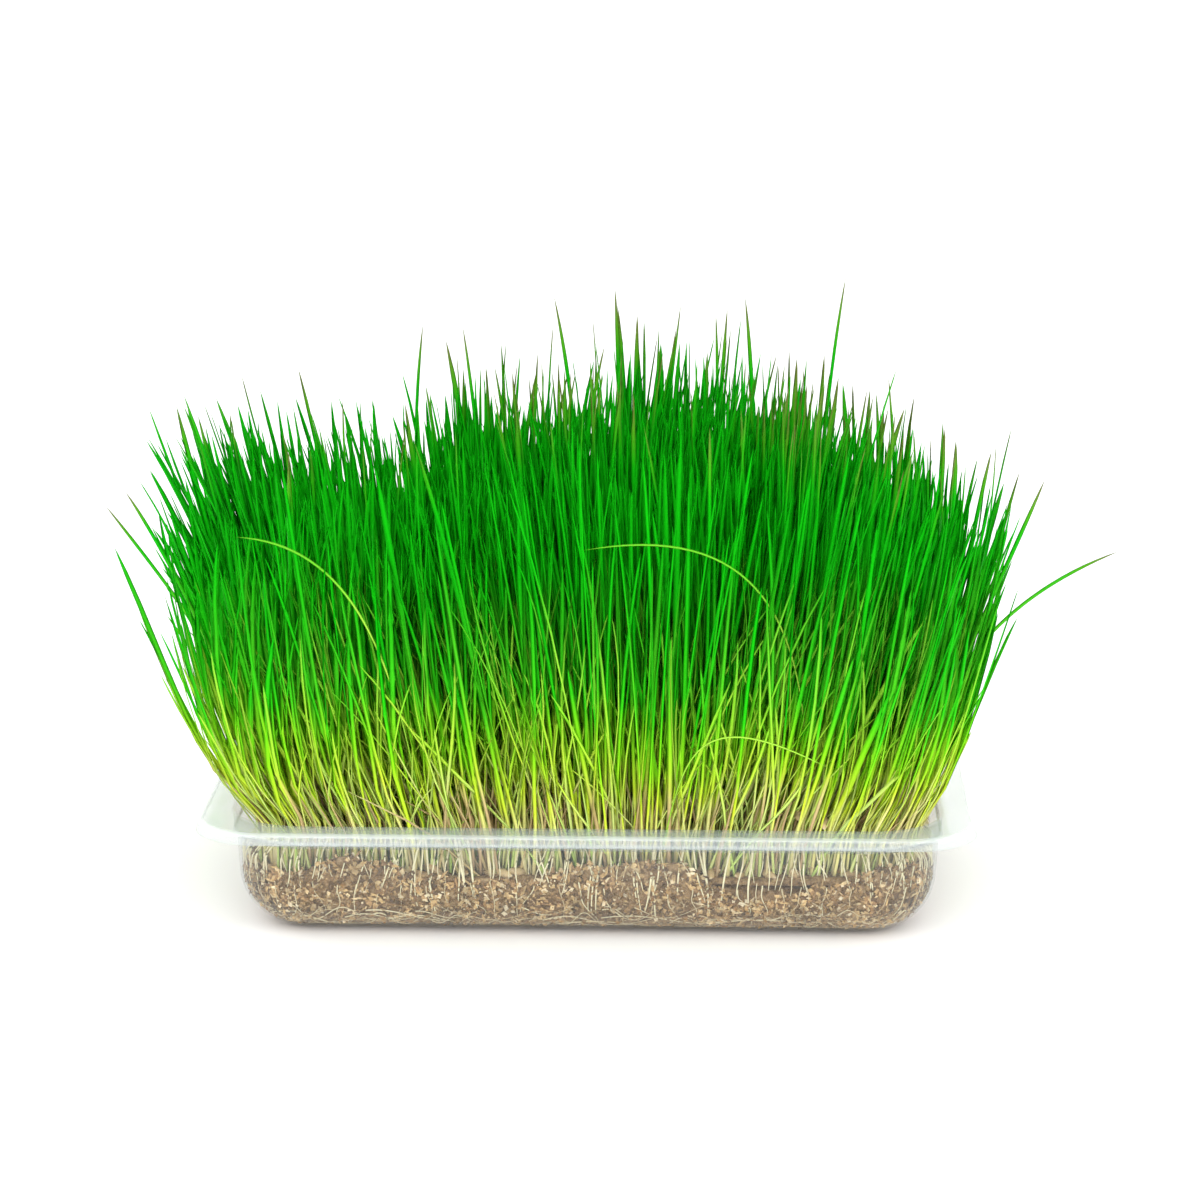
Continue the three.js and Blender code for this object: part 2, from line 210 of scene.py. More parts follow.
def eased(value, low, high):
    """0 below low, 1 above high, and a smooth S between them: 3s squared less 2s cubed."""
    share = np.clip((value - low) / (high - low), 0, 1)
    return share * share * (3 - 2 * share)


def unit(vectors):
    """Vectors made one long, along their last axis."""
    return vectors / np.maximum(np.linalg.norm(vectors, axis=-1, keepdims=True), 1e-9)


def level(angle):
    """Level vectors at the angles from +X."""
    return np.stack([np.cos(angle), np.sin(angle), 0 * angle], axis=-1)


def square_to(directions, upright):
    """Two directions at right angles to the given one and to each other. The first is square to +Z as well,
    or to +X where the given one is more upright than this."""
    helper = np.where(np.abs(directions[..., 2:]) < upright, [0, 0, 1], [1, 0, 0])
    first = unit(np.cross(helper, directions))
    return first, np.cross(directions, first)


def lumps(points, size, purpose):
    """Smooth noise from -1 to 1: each corner of a lattice of cells holds a repeatable number, and the eight
    round a point are blended by how near they are."""
    cell = points / size
    corner = np.floor(cell)
    share = cell - corner
    share = share * share * (3 - 2 * share)
    total = 0
    for step in np.ndindex(2, 2, 2):
        step = np.array(step[::-1])
        at = corner + step
        corner_index = sum(at[..., axis] * LATTICE_STEPS[axis] for axis in range(3))
        number = draw(corner_index, LUMPS_OF[purpose])
        weight = np.prod(np.where(step == 1, share, 1 - share), axis=-1)
        total = total + number * weight
    return total * 2 - 1


def grid_faces(rows, columns, closed=True):
    """Quads of a grid of points, row by row, and closed round each row if asked."""
    wide = columns if closed else columns - 1
    row, column = np.meshgrid(np.arange(rows - 1), np.arange(wide), indexing="ij")
    following = (column + 1) % columns
    quads = [row * columns + column, row * columns + following]
    quads += [(row + 1) * columns + following, (row + 1) * columns + column]
    return np.stack(quads, axis=-1).reshape(-1, 4)


def repeated(faces, copies, points_each):
    """The same faces for many copies of a shape whose points follow one another."""
    offsets = np.arange(copies)[:, None, None] * points_each
    return (faces[None] + offsets).reshape(-1, faces.shape[-1])


def placed(name, data):
    """A new object of the scene, at the origin."""
    thing = bpy.data.objects.new(name, data)
    bpy.context.scene.collection.objects.link(thing)
    return thing


def make_piece(name, points, face_groups, finish, attributes=None, stands_for=(), smooth=True):
    """A mesh object at the origin from points in millimetres and arrays of faces, riding with the tray."""
    mesh = bpy.data.meshes.new(name)
    points = np.asarray(points, float).reshape(-1, 3) * MM
    sizes = np.concatenate([np.full(len(group), group.shape[1]) for group in face_groups])
    corners = np.concatenate([group.ravel() for group in face_groups])
    mesh.vertices.add(len(points))
    mesh.vertices.foreach_set("co", points.astype(np.float32).ravel())
    mesh.loops.add(len(corners))
    mesh.loops.foreach_set("vertex_index", corners.astype(np.int32))
    mesh.polygons.add(len(sizes))
    mesh.polygons.foreach_set("loop_start", (np.cumsum(sizes) - sizes).astype(np.int32))
    mesh.polygons.foreach_set("loop_total", sizes.astype(np.int32))
    mesh.update(calc_edges=True)
    mesh.polygons.foreach_set("use_smooth", np.full(len(sizes), smooth))
    for label, values in (attributes or {}).items():
        layer = mesh.attributes.new(label, "FLOAT", "POINT")
        layer.data.foreach_set("value", np.asarray(values, np.float32).ravel())
    piece = placed(name, mesh)
    mesh.materials.append(finish)
    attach(piece, "root")
    if stands_for:
        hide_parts(*stands_for)


def closed_piece(name, rings, middles, finish, attributes=None, stands_for=()):
    """A closed form from rings of points, whose first and last ring are each closed to a middle point."""
    count, around = rings.shape[:2]
    points = np.concatenate([rings.reshape(-1, 3), middles])
    ring = np.arange(around)
    following = (ring + 1) % around
    first = np.stack([np.full(around, count * around), following, ring], axis=1)
    last = (count - 1) * around
    second = np.stack([np.full(around, count * around + 1), last + ring, last + following], axis=1)
    faces = [grid_faces(count, around), first, second]
    make_piece(name, points, faces, finish, attributes, stands_for)


class Value:
    """A number in a material, as the output of one of its nodes. Sums and products of it add Math nodes."""

    def __init__(self, finish, socket):
        self.finish = finish
        self.socket = socket

    def join(self, operation, first, second):
        return self.finish.value("ShaderNodeMath", {"operation": operation}, {0: first, 1: second}, 0)

    def __add__(self, other):
        return self.join("ADD", self, other)

    def __sub__(self, other):
        return self.join("SUBTRACT", self, other)

    def __mul__(self, other):
        return self.join("MULTIPLY", self, other)

    def __pow__(self, other):
        return self.join("POWER", self, other)

    def __rsub__(self, other):
        return self.join("SUBTRACT", other, self)

    __radd__ = __add__
    __rmul__ = __mul__

    def eased(self, low, high):
        """0 below low and 1 above high, with a smooth rise between them."""
        settings = {"interpolation_type": "SMOOTHSTEP"}
        return self.finish.value("ShaderNodeMapRange", settings, {"Value": self, 1: low, 2: high}, 0)


class Finish:
    """A material while it is made. Its shader is a Principled one."""

    def __init__(self, name, **constants):
        self.material = bpy.data.materials.new(name)
        self.material.use_nodes = True
        self.tree = self.material.node_tree
        self.shader = self.tree.nodes["Principled BSDF"]
        for label, number in constants.items():
            self.shader.inputs[label.replace("_", " ")].default_value = number

    def value(self, kind, settings, inputs, output):
        """One output of a new node, whose settings come before its inputs' values or links."""
        node = self.tree.nodes.new(kind)
        for label, setting in settings.items():
            if label == "stops":
                self.fill_ramp(node.color_ramp, setting)
            else:
                setattr(node, label, setting)
        for label, given in inputs.items():
            self.feed(node.inputs[label], given)
        return Value(self, node.outputs[output])

    def fill_ramp(self, ramp, stops):
        while len(ramp.elements) < len(stops):
            ramp.elements.new(1)
        for element, (place, colour) in zip(ramp.elements, stops):
            element.position = place
            element.color = (*colour, 1)

    def feed(self, target, given):
        if isinstance(given, Value):
            self.tree.links.new(given.socket, target)
        elif isinstance(given, tuple) and target.type == "RGBA":
            target.default_value = (*given, 1)
        else:
            target.default_value = given

    def attribute(self, name):
        return self.value("ShaderNodeAttribute", {"attribute_name": name}, {}, "Fac")

    def place(self):
        return self.value("ShaderNodeTexCoord", {}, {}, "Object")

    def height(self):
        """Height above the surface that the tray stands on, in millimetres."""
        return self.value("ShaderNodeSeparateXYZ", {}, {0: self.place()}, "Z") * (1 / MM)

    def noise(self, size, detail=2.0, roughness=0.5):
        """Soft noise from 0 to 1 whose lumps are about this many millimetres wide."""
        inputs = {"Vector": self.place(), "Scale": 1 / (size * MM)}
        inputs |= {"Detail": detail, "Roughness": roughness}
        return self.value("ShaderNodeTexNoise", {}, inputs, "Fac")

    def ramp(self, value, stops):
        return self.value("ShaderNodeValToRGB", {"stops": stops}, {0: value}, "Color")

    def mix(self, share, first, second, blend="MIX"):
        settings = {"data_type": "RGBA", "blend_type": blend}
        return self.value("ShaderNodeMix", settings, {0: share, 6: first, 7: second}, 2)

    def bump(self, height, strength, distance):
        inputs = {"Height": height, "Strength": strength, "Distance": distance * MM}
        return self.value("ShaderNodeBump", {}, inputs, "Normal")

    def finished(self, **links):
        for label, given in links.items():
            self.feed(self.shader.inputs[label.replace("_", " ")], given)
        return self.material


# Finishes

# Up a blade from its root: sheath, straw, yellow-green, spring green and three deep greens
GRASS_TONES = (
    (0.0, (0.92, 0.80, 0.47)),
    (0.10, (0.88, 0.84, 0.30)),
    (0.17, (0.65, 0.82, 0.045)),
    (0.28, (0.26, 0.74, 0.010)),
    (0.40, (0.022, 0.56, 0.005)),
    (0.54, (0.004, 0.43, 0.003)),
    (1.0, (0.002, 0.40, 0.002)),
)
# Painted shade on the heap's brown, from dark in the gaps between the clods to lighter on their tops
HEAP_TONES_AND_SHADE = (
    (0.30, (0.07, 0.04, 0.02)),
    (0.45, (0.20, 0.12, 0.055)),
    (0.58, (0.36, 0.24, 0.12)),
    (0.72, (0.54, 0.40, 0.23)),
)
# Bark brown, brown, tan, light tan, gold, beige and pale husk
FLAKE_TONES = (
    (0.0, (0.13, 0.085, 0.05)),
    (0.14, (0.20, 0.12, 0.06)),
    (0.36, (0.36, 0.22, 0.095)),
    (0.60, (0.50, 0.345, 0.165)),
    (0.78, (0.62, 0.45, 0.22)),
    (0.90, (0.68, 0.55, 0.33)),
    (1.0, (0.84, 0.76, 0.56)),
)


def clear_plastic():
    """Thin clear sheet with a faint cool milky cast, denser where the sheet is bent and where it is seen
    edge on. The frosted lines along the bends are partly denser plastic and partly painted highlights. Near
    the foot it is a little beige from what has settled on its inside."""
    haze, milk_and_highlight_haze, edge_haze = 0.012, 0.40, 0.36
    smoke, cool_smoke = (0.42, 0.49, 0.51), (0.50, 0.54, 0.55)
    frost_and_highlight, dust = (0.76, 0.81, 0.81), (0.72, 0.66, 0.56)
    dust_ends = (4, 9)
    plastic = Finish("clear_plastic", Roughness=0.09, IOR=1.5, Specular_IOR_Level=0.9)
    grazing = plastic.value("ShaderNodeLayerWeight", {}, {"Blend": 0.35}, "Facing")
    cloud = plastic.noise(26, 1.0)
    milk = plastic.attribute("milk")
    # Painted highlights: where the milk mark is high, on the bends, the sheet is more opaque and frosted,
    # partly for denser plastic and partly as painted highlight lines
    alpha = haze + milk * (0.7 + cloud * 0.6) * milk_and_highlight_haze + (grazing ** 2) * edge_haze
    clear = plastic.mix(cloud.eased(0.35, 0.65), smoke, cool_smoke)
    milky_and_highlit = plastic.mix(milk.eased(0.2, 0.85), clear, frost_and_highlight)
    dusty = plastic.mix(1 - plastic.height().eased(*dust_ends), milky_and_highlit, dust)
    ripple = plastic.bump(plastic.noise(9, 1.0), 0.12, 0.3)
    return plastic.finished(Base_Color=dusty, Alpha=alpha, Normal=ripple)


def grass():
    """Pale sheath at the root, yellow-green above it, deep green at the top, dry olive at some tips. Light
    blades are lime, a quarter of the sheaths are brown, and a painted highlight makes the keel a little
    brighter than the blade."""
    dull, vivid, keel_highlight_gain = (0.84, 0.86, 0.86), (1.13, 1.10, 1.10), (1.25, 1.12, 1.25)
    lime, brown = (0.37, 0.71, 0.06), (0.58, 0.36, 0.21)
    olive, dry = (0.11, 0.30, 0.012), (0.16, 0.17, 0.045)
    tones_from, tones_span, lime_ends, sheath_ends = 20, 140, (80, 125), (38, 58)
    patch_lift, tint_lift, light_lift = 18, 14, 18
    grooves_across = 26
    leaf = Finish("grass", Roughness=0.6, Specular_IOR_Level=0.05)
    along = leaf.attribute("along")
    tint = leaf.attribute("tint")
    light = leaf.attribute("light")
    wither = leaf.attribute("wither")
    across = leaf.attribute("across")
    height = leaf.height() + (leaf.noise(30, 1.0) - 0.5) * patch_lift + (tint - 0.5) * tint_lift
    body = leaf.ramp((height - light * light_lift - tones_from) * (1 / tones_span), GRASS_TONES)
    body = leaf.mix(1.0, body, leaf.mix(tint, dull, vivid), "MULTIPLY")
    limed = light * (1 - height.eased(*lime_ends)) * 0.72 + light.eased(1.2, 2.4) * 0.7
    fresh = leaf.mix(limed, body, lime)
    # Painted highlight: the blade's middle line on both faces is made brighter and whiter than the rest
    keel = (1 - across.eased(0.0, 0.22)) * 0.3
    keel_highlighted = leaf.mix(keel, fresh, leaf.mix(1.0, fresh, keel_highlight_gain, "MULTIPLY"))
    dry_sheath = (1 - leaf.height().eased(*sheath_ends)) * (1 - tint.eased(0.20, 0.30))
    based = leaf.mix(dry_sheath * 0.75, keel_highlighted, brown)
    aged = wither.eased(0.5, 0.95)
    fading = leaf.mix(along.eased(0.83, 0.94) * aged * 0.75, based, olive)
    colour = leaf.mix(along.eased(0.91, 0.98) * aged * 0.85, fading, dry)
    grooves = leaf.value("ShaderNodeMath", {"operation": "SINE"}, {0: across * grooves_across}, 0)
    return leaf.finished(Base_Color=colour, Normal=leaf.bump(grooves, 0.25, 0.06))


def loose_medium():
    """Damp loose heap behind the flakes, with painted shade: dark in the gaps between its clods and lighter
    on their tops.
    """
    heap = Finish("loose_medium", Roughness=0.9, Specular_IOR_Level=0.2)
    clods = heap.noise(2.2, 4.0, 0.7)
    # Painted shade: the lumps that bump the heap also darken its hollows and lighten its tops
    return heap.finished(Base_Color=heap.ramp(clods, HEAP_TONES_AND_SHADE), Normal=heap.bump(clods, 0.8, 1.0))


def flake():
    """Chips of husk and mineral flake: dark brown, tan, gold and pale beige, each chip its own colour. Dark
    flecks mark them, and wide patches of them are damp and darker."""
    dark_fleck, damp, dried = (0.10, 0.07, 0.05), (0.68, 0.65, 0.62), (1.16, 1.11, 1.05)
    chip = Finish("flake", Roughness=0.75, Specular_IOR_Level=0.3)
    colour = chip.ramp(chip.attribute("tint"), FLAKE_TONES)
    fleck = chip.noise(0.7, 3.0, 0.6)
    flecked = chip.mix((1 - fleck.eased(0.3, 0.55)) * 0.45, colour, dark_fleck)
    patch = chip.noise(8, 2.0).eased(0.36, 0.62)
    patched = chip.mix(1.0, flecked, chip.mix(patch, damp, dried), "MULTIPLY")
    return chip.finished(Base_Color=patched, Normal=chip.bump(fleck, 0.5, 0.25))


def grain():
    """Sprouted wheat: golden brown with darker spots and lighter ends."""
    brown, golden = (0.34, 0.20, 0.09), (0.60, 0.45, 0.24)
    pale_end, spot = (0.78, 0.68, 0.45), (0.22, 0.12, 0.06)
    seed = Finish("grain", Roughness=0.5, Specular_IOR_Level=0.35)
    colour = seed.mix(seed.attribute("tint"), brown, golden)
    ended = seed.mix(seed.attribute("along").eased(0.82, 1.0) * 0.5, colour, pale_end)
    skin = seed.noise(0.9, 3.0)
    aged = seed.mix(skin.eased(0.5, 0.7) * 0.5, ended, spot)
    return seed.finished(Base_Color=aged, Normal=seed.bump(skin, 0.4, 0.2))


def root():
    """Pale root threads, cream to straw, with browner stretches."""
    cream, straw, brown = (0.86, 0.80, 0.53), (0.60, 0.48, 0.29), (0.50, 0.36, 0.22)
    thread = Finish("root", Roughness=0.55, Specular_IOR_Level=0.3)
    colour = thread.mix(thread.attribute("tint"), cream, straw)
    aged = thread.mix(thread.noise(3.0, 2.0).eased(0.5, 0.75) * 0.4, colour, brown)
    return thread.finished(Base_Color=aged, Normal=thread.bump(thread.noise(0.4), 0.3, 0.1))


def studio_floor():
    """A pale matt sweep with the faintest unevenness."""
    ground = Finish("studio_floor", Roughness=0.9, Specular_IOR_Level=0.1)
    tone = ground.mix(ground.noise(400, 2.0), (0.95, 0.95, 0.95), (0.98, 0.98, 0.98))
    return ground.finished(Base_Color=tone)


# Where the tray's walls are


def rim_table(corner_steps=18, long_steps=30, short_steps=22):
    """Round a rectangle with round corners, counter-clockwise from above. For each point: its share of the
    way round, the angle on its corner, and where its corner's centre lies on each axis, from -1 to 1. Along
    a straight side the angle stays and the centre moves."""
    centres = ((1, 1), (-1, 1), (-1, -1), (1, -1))
    rows = []
    for quarter, (cx, cy) in enumerate(centres):
        nx, ny = centres[(quarter + 1) % 4]
        steps = long_steps if quarter % 2 == 0 else short_steps
        arc = np.linspace(0, 1, corner_steps + 1)
        rows.append(np.stack([(quarter + arc) * math.pi / 2, 0 * arc + cx, 0 * arc + cy], axis=1))
        side = np.linspace(0, 1, steps + 1)[1:-1]
        turned = 0 * side + (quarter + 1) * math.pi / 2
        rows.append(np.stack([turned, cx + (nx - cx) * side, cy + (ny - cy) * side], axis=1))
    table = np.concatenate(rows)
    closed = np.concatenate([table, [[2 * math.pi, 1, 1]]])
    x = closed[:, 1] * (BODY_HALF_X - BODY_CORNER) + BODY_CORNER * np.cos(closed[:, 0])
    y = closed[:, 2] * (BODY_HALF_Y - BODY_CORNER) + BODY_CORNER * np.sin(closed[:, 0])
    way = np.concatenate([[0], np.cumsum(np.hypot(np.diff(x), np.diff(y)))])
    return np.column_stack([way / way[-1], closed]), way[-1]


RIM_TABLE, RIM_WAY = rim_table()


def on_rim(share, out, z):
    """The point at a share of the way round the tray, at a distance outward from the body's top edge: the
    corner's centre plus its radius at the angle there. The corners tighten outward on the flange and inward
    on the base."""
    share, out, z = np.broadcast_arrays(share, out, z)
    angle, cx, cy = (np.interp(share % 1.0, RIM_TABLE[:, 0], RIM_TABLE[:, n]) for n in (1, 2, 3))
    inward = np.maximum(LEAST_CORNER, BODY_CORNER + out)
    outward = BODY_CORNER + (FLANGE_CORNER - BODY_CORNER) * out / FLANGE_WIDTH
    radius = np.where(out < 0, inward, outward)
    x = cx * (BODY_HALF_X + out - radius) + radius * np.cos(angle)
    y = cy * (BODY_HALF_Y + out - radius) + radius * np.sin(angle)
    return np.stack([x, y, z], axis=-1)


def rim_normal(share):
    """The outward direction at a share of the way round, level."""
    return level(np.interp(share % 1.0, RIM_TABLE[:, 0], RIM_TABLE[:, 1]))


def sheet_profile():
    """The sheet's outer face from the middle of the base to the skirt's edge: outward distances, heights
    and a mark of milkiness and painted highlight. Each bend is a quarter circle at the heel, and elsewhere
    a curve drawn to the corner."""
    groove_outer = HEEL_START - GROOVE_FROM_EDGE
    groove_inner = groove_outer - GROOVE_WIDTH
    under = TRAY_HEIGHT - WALL
    edge = FLANGE_WIDTH - WALL
    # Each corner's distance outward and height, how far from it the bend starts, and how milky the sheet is
    # in the middle of the bend and at its ends; the high middles of the bends are partly painted highlight
    # lines
    corners = (
        (groove_inner - GROOVE_INSIDE, 0, 0, 0.10, 0.10),
        (groove_inner, 0, 0.7, 0.25, 0.12),
        (groove_inner + GROOVE_HEIGHT, GROOVE_HEIGHT, 0.5, 0.3, 0.2),
        (groove_outer - GROOVE_HEIGHT, GROOVE_HEIGHT, 0.5, 0.3, 0.2),
        (groove_outer, 0, 0.7, 0.25, 0.16),
        (HEEL_END, 0, HEEL_RADIUS, 0.06, 0.08),
        (-SHOULDER_STEP, SHOULDER_Z - SHOULDER_STEP, 0.9, 0.3, 0.14),
        (0, SHOULDER_Z, 0.9, 0.75, 0.16),
        (0, under, 0.8, 0.4, 0.26),
        (edge - SKIRT_FLARE, under, 0.8, 0.9, 0.48),
        (edge, TRAY_HEIGHT - SKIRT_DROP, 0, 0.62, 0.46),
    )
    points = []
    for n, (out, z, reach, milk, flat_milk) in enumerate(corners):
        here = np.array([out, z], float)
        if reach == 0:
            points.append([[out, z, milk]])
            continue
        before = np.array(corners[n - 1][:2], float) - here
        after = np.array(corners[n + 1][:2], float) - here
        start = here + before / np.linalg.norm(before) * reach
        end = here + after / np.linalg.norm(after) * reach
        heel = reach == HEEL_RADIUS
        t = np.linspace(0, 1, (HEEL_STEPS if heel else BEND_STEPS) + 1)[:, None]
        if heel:
            turn = t * math.pi / 2
            arc = start + np.hstack([np.sin(turn), 1 - np.cos(turn)]) * reach
        else:
            arc = start * (1 - t) ** 2 + here * 2 * t * (1 - t) + end * t**2
        glow = flat_milk + (milk - flat_milk) * np.sin(t * math.pi)
        points.append(np.hstack([arc, glow]))
    return np.concatenate(points)


def tray_piece(finish):
    """The sheet: its outer face carried round the rim, and the same profile moved inward by the wall's
    thickness along its own normal, joined at the skirt's edge and closed in the middle of the base."""
    outer = sheet_profile()
    along = unit(np.gradient(outer[:, :2], axis=0))
    inner = outer.copy()
    inner[:, 0] -= along[:, 1] * WALL
    inner[:, 1] += along[:, 0] * WALL
    tip = (outer[-1:] + inner[-1:]) / 2 + np.array([[0, -WALL * SKIRT_TIP, 0]])
    profile = np.concatenate([outer, tip, inner[::-1]])
    rings = on_rim(RIM_TABLE[None, :-1, 0], profile[:, :1], profile[:, 1:2])
    middles = [[0, 0, 0], [0, 0, WALL]]
    # The milkiness of the sheet, with painted highlight lines on its bends
    milk = np.concatenate([np.repeat(profile[:, 2], rings.shape[1]), [outer[0, 2], outer[0, 2]]])
    closed_piece("clear_tray", rings, middles, finish, {"milk": milk}, ["tray"])


def wall_inside(z):
    """How far out the inside of the tray's wall is at a height: the round heel, then the drafted wall."""
    radius = HEEL_RADIUS - WALL
    rise = np.clip((HEEL_RADIUS - z) / radius, 0, 1)
    drafted = WALL_DRAFT * np.clip((z - HEEL_RADIUS) / (SHOULDER_Z - HEEL_RADIUS), 0, 1)
    return HEEL_START + radius * np.sqrt(1 - rise**2) + drafted


# The medium


def heap_edge(share):
    """How high the loose medium stands against the wall: higher and lower in wide swells and in clods."""
    at = on_rim(share, 0, 0)
    swell = 7.5 * lumps(at, 24.0, "heap_edge")
    return BED_TOP + HEAP_EDGE_RISE + swell + 2.0 * lumps(at, 6.0, "heap_edge_fine")


def heap_out(share, z):
    """How far out the heap reaches: behind the wall by a gap that varies with two sizes of lumps."""
    at = on_rim(share, wall_inside(z), z)
    wide = 0.3 * lumps(at, 7.0, "heap_gap")
    return wall_inside(z) - HEAP_GAP + wide + 0.25 * lumps(at, 2.4, "heap_gap_fine")


def heap_top(points):
    """The heap's top: level with wide low hollows and small clods."""
    return BED_TOP + 0.8 * lumps(points, 22.0, "heap_top") + 0.5 * lumps(points, 4.0, "heap_top_fine")


def medium_piece(finish):
    """A closed heap: up the wall it follows the tray's inside less a lumpy gap, and its top is rings that
    shrink to the middle and drop from the edge to the heap's top by a smooth S."""
    around, levels, top_rings = 420, 24, 10
    share = np.linspace(0, 1, around, endpoint=False)[None]
    rise = np.concatenate([[0], np.linspace(0.015, 1, levels)])[:, None]
    z = between((BED_FLOOR, heap_edge(share)), rise)
    side = on_rim(share, heap_out(share, z), z)
    edge = side[-1]
    shrink = np.concatenate([[0.99, 0.975, 0.955], np.linspace(0.93, 0.05, top_rings)])[:, None, None]
    top = edge[None] * np.array([1, 1, 0]) * shrink
    slope = eased(shrink[..., 0], 0.95, 1.0)
    top[..., 2] = heap_top(top) * (1 - slope) + edge[..., 2] * slope
    rings = np.concatenate([side, top])
    middles = [[0, 0, BED_FLOOR], [0, 0, BED_TOP]]
    closed_piece("loose_medium", rings, middles, finish, stands_for=["growing_medium"])


# Each kind of chip: name, count and first number, the ends of its lengths, of its widths as shares of them,
# and of its tints, then the lowest chips' height and how far above the heap's edge the highest are
CHIP_KINDS = (
    ("flakes", 13000, 101, (0.7, 2.6), (0.5, 0.98), (0.0, 1.0), (1.6, 0.9)),
    ("husks", 1000, 121, (2.2, 4.6), (0.16, 0.34), (0.3, 0.95), (2.0, 1.4)),
)
CHIP_FACES = np.array([
    [0, 2, 4], [2, 1, 4], [1, 3, 4], [3, 0, 4],
    [2, 0, 5], [1, 2, 5], [3, 1, 5], [0, 3, 5],
])


def chips(centres, normals, lengths, widths, thicknesses, spins):
    """Flat chips: six points each, at the ends of three axes at right angles, the thin one along the
    normal. The spin turns the long axis round the normal, and the wide one is set askew."""
    first, second = square_to(normals, 0.9)
    turned = first * np.cos(spins)[:, None] + second * np.sin(spins)[:, None]
    crossed = np.cross(normals, turned)
    long = turned * lengths[:, None] / 2
    wide = crossed * widths[:, None] / 2
    thick = normals * thicknesses[:, None] / 2
    skew = long * 0.3
    corners = [long, -long, wide + skew, -wide - skew * 0.5, thick, -thick]
    return centres[:, None] + np.stack(corners, axis=1)


def chips_piece(finish, name, count, first_number, lengths, slenderness, tints, heights):
    """Chips against the wall, scattered round it and up it. Each is tilted by adding up to 0.55 to its
    normal on each axis. Each range is drawn from evenly, but the lengths lean to the short end."""
    index = np.arange(1, count + 1)
    drawn = draw_all(index, numbered(first_number, CHIP_DRAWS))
    share = (index * SCATTER[0] + drawn.place * 0.01) % 1.0
    z = between((heights[0], heap_edge(share) + heights[1]), (index * SCATTER[1]) % 1.0)
    centres = on_rim(share, wall_inside(z) - between(CHIP_INSET, drawn.inset), z)
    tilt = (np.stack([drawn.tilt_x, drawn.tilt_y, drawn.tilt_z], axis=1) - 0.5) * 1.1
    rise = np.clip((HEEL_RADIUS - z) / HEEL_RADIUS, 0, 1)
    outward = rim_normal(share) * np.sqrt(1 - rise**2)[:, None] - np.array([0, 0, 1]) * rise[:, None]
    long = between(lengths, drawn.length**1.6)
    wide = long * between(slenderness, drawn.width)
    thick = np.minimum(CHIP_THICKNESS, wide * 0.4)
    points = chips(centres, unit(outward + tilt), long, wide, thick, drawn.spin * 2 * math.pi)
    tint = np.repeat(between(tints, drawn.tint), 6)
    faces = [repeated(CHIP_FACES, count, 6)]
    make_piece(name, points, faces, finish, {"tint": tint}, smooth=False)


def thread_draws(count, steps, purposes, waves):
    """Each thread's number, what is drawn for it, the shares of its way where its rings are, and the angle
    of its wave there, which starts anywhere."""
    index = np.arange(1, count + 1)[:, None]
    drawn = draw_all(index, purposes)
    t = np.linspace(0, 1, steps)[None]
    return index, drawn, t, t * between(waves, drawn.wave) + PHASE_SPREAD * drawn.phase


def threads(paths, radius, tints, name, finish):
    """Thin three-sided tubes along many paths at once: each ring lies square to the path, the tube narrows
    to a third, and a triangle closes each end."""
    count, steps = paths.shape[:2]
    along = unit(np.gradient(paths, axis=1))
    first, second = square_to(along, 0.8)
    angles = np.arange(3) * 2 * math.pi / 3
    taper = np.linspace(1, 0.35, steps)[:, None, None]
    spokes = first[:, :, None] * np.cos(angles)[:, None] + second[:, :, None] * np.sin(angles)[:, None]
    points = paths[:, :, None] + spokes * radius[..., None, None] * taper
    each = steps * 3
    shapes = (grid_faces(steps, 3), np.array([[0, 2, 1]]), np.array([[each - 3, each - 2, each - 1]]))
    faces = [repeated(shape, count, each) for shape in shapes]
    make_piece(name, points, faces, finish, {"tint": np.repeat(tints, each)})


def wall_roots_piece(finish):
    """Threads that come down out of the mat beside the wall. Each falls by a power of the way along it, and
    wanders aside by another power, plus a wave that grows with the way."""
    wander, wave = 14, 1.3
    index, drawn, t, turns = thread_draws(110, 26, WALL_ROOT_DRAWS, (5, 11))
    high = between((19.5, 17), drawn.high)
    low = between((1.2, 10.2), drawn.low**1.3)
    z = between((high, low), t ** between((0.8, 1.3), drawn.ease))
    aside = (drawn.wander - 0.5) * wander * t**1.5
    share = (index * SCATTER[0]) % 1.0 + (aside + wave * np.sin(turns) * t) / RIM_WAY
    paths = on_rim(share, wall_inside(z) - between((0.28, 0.63), drawn.inset), z)
    threads(paths, between((0.11, 0.26), drawn.radius), drawn.tint, "wall_roots", finish)


def wall_stems_piece(finish):
    """Pale shoots that have grown down behind the wall: from among the blades at the rim, out to the wall
    by a smooth S, and straight down it with a lean and a slight wave. They stand in clumps, some of them
    long."""
    clumps_to_a_shoot, clump_width, long_from = 0.29, 9, 0.7
    top, insets, lean, wave = 31, (5.6, 0.7), 9, 0.35
    index, drawn, t, turns = thread_draws(330, 18, STEM_DRAWS, (3, 7))
    clump = np.floor(index * clumps_to_a_shoot)
    long = draw(clump, STEM_DRAWS["long"]) > long_from
    low = np.where(long, between((5.5, 14.5), drawn.low), between((14, 22), drawn.low))
    z = between((top, low), t)
    aside = (drawn.place - 0.5) * clump_width + (drawn.lean - 0.5) * lean * (t - 0.5)
    share = (clump * SCATTER[0]) % 1.0 + (aside + wave * np.sin(turns)) / RIM_WAY
    paths = on_rim(share, wall_inside(z) - between(insets, eased(t, 0.0, 0.55)), z)
    radius = between((0.22, 0.46), drawn.radius) + 0.16 * long
    threads(paths, radius, between((-0.1, 0.2), drawn.tint), "wall_stems", finish)


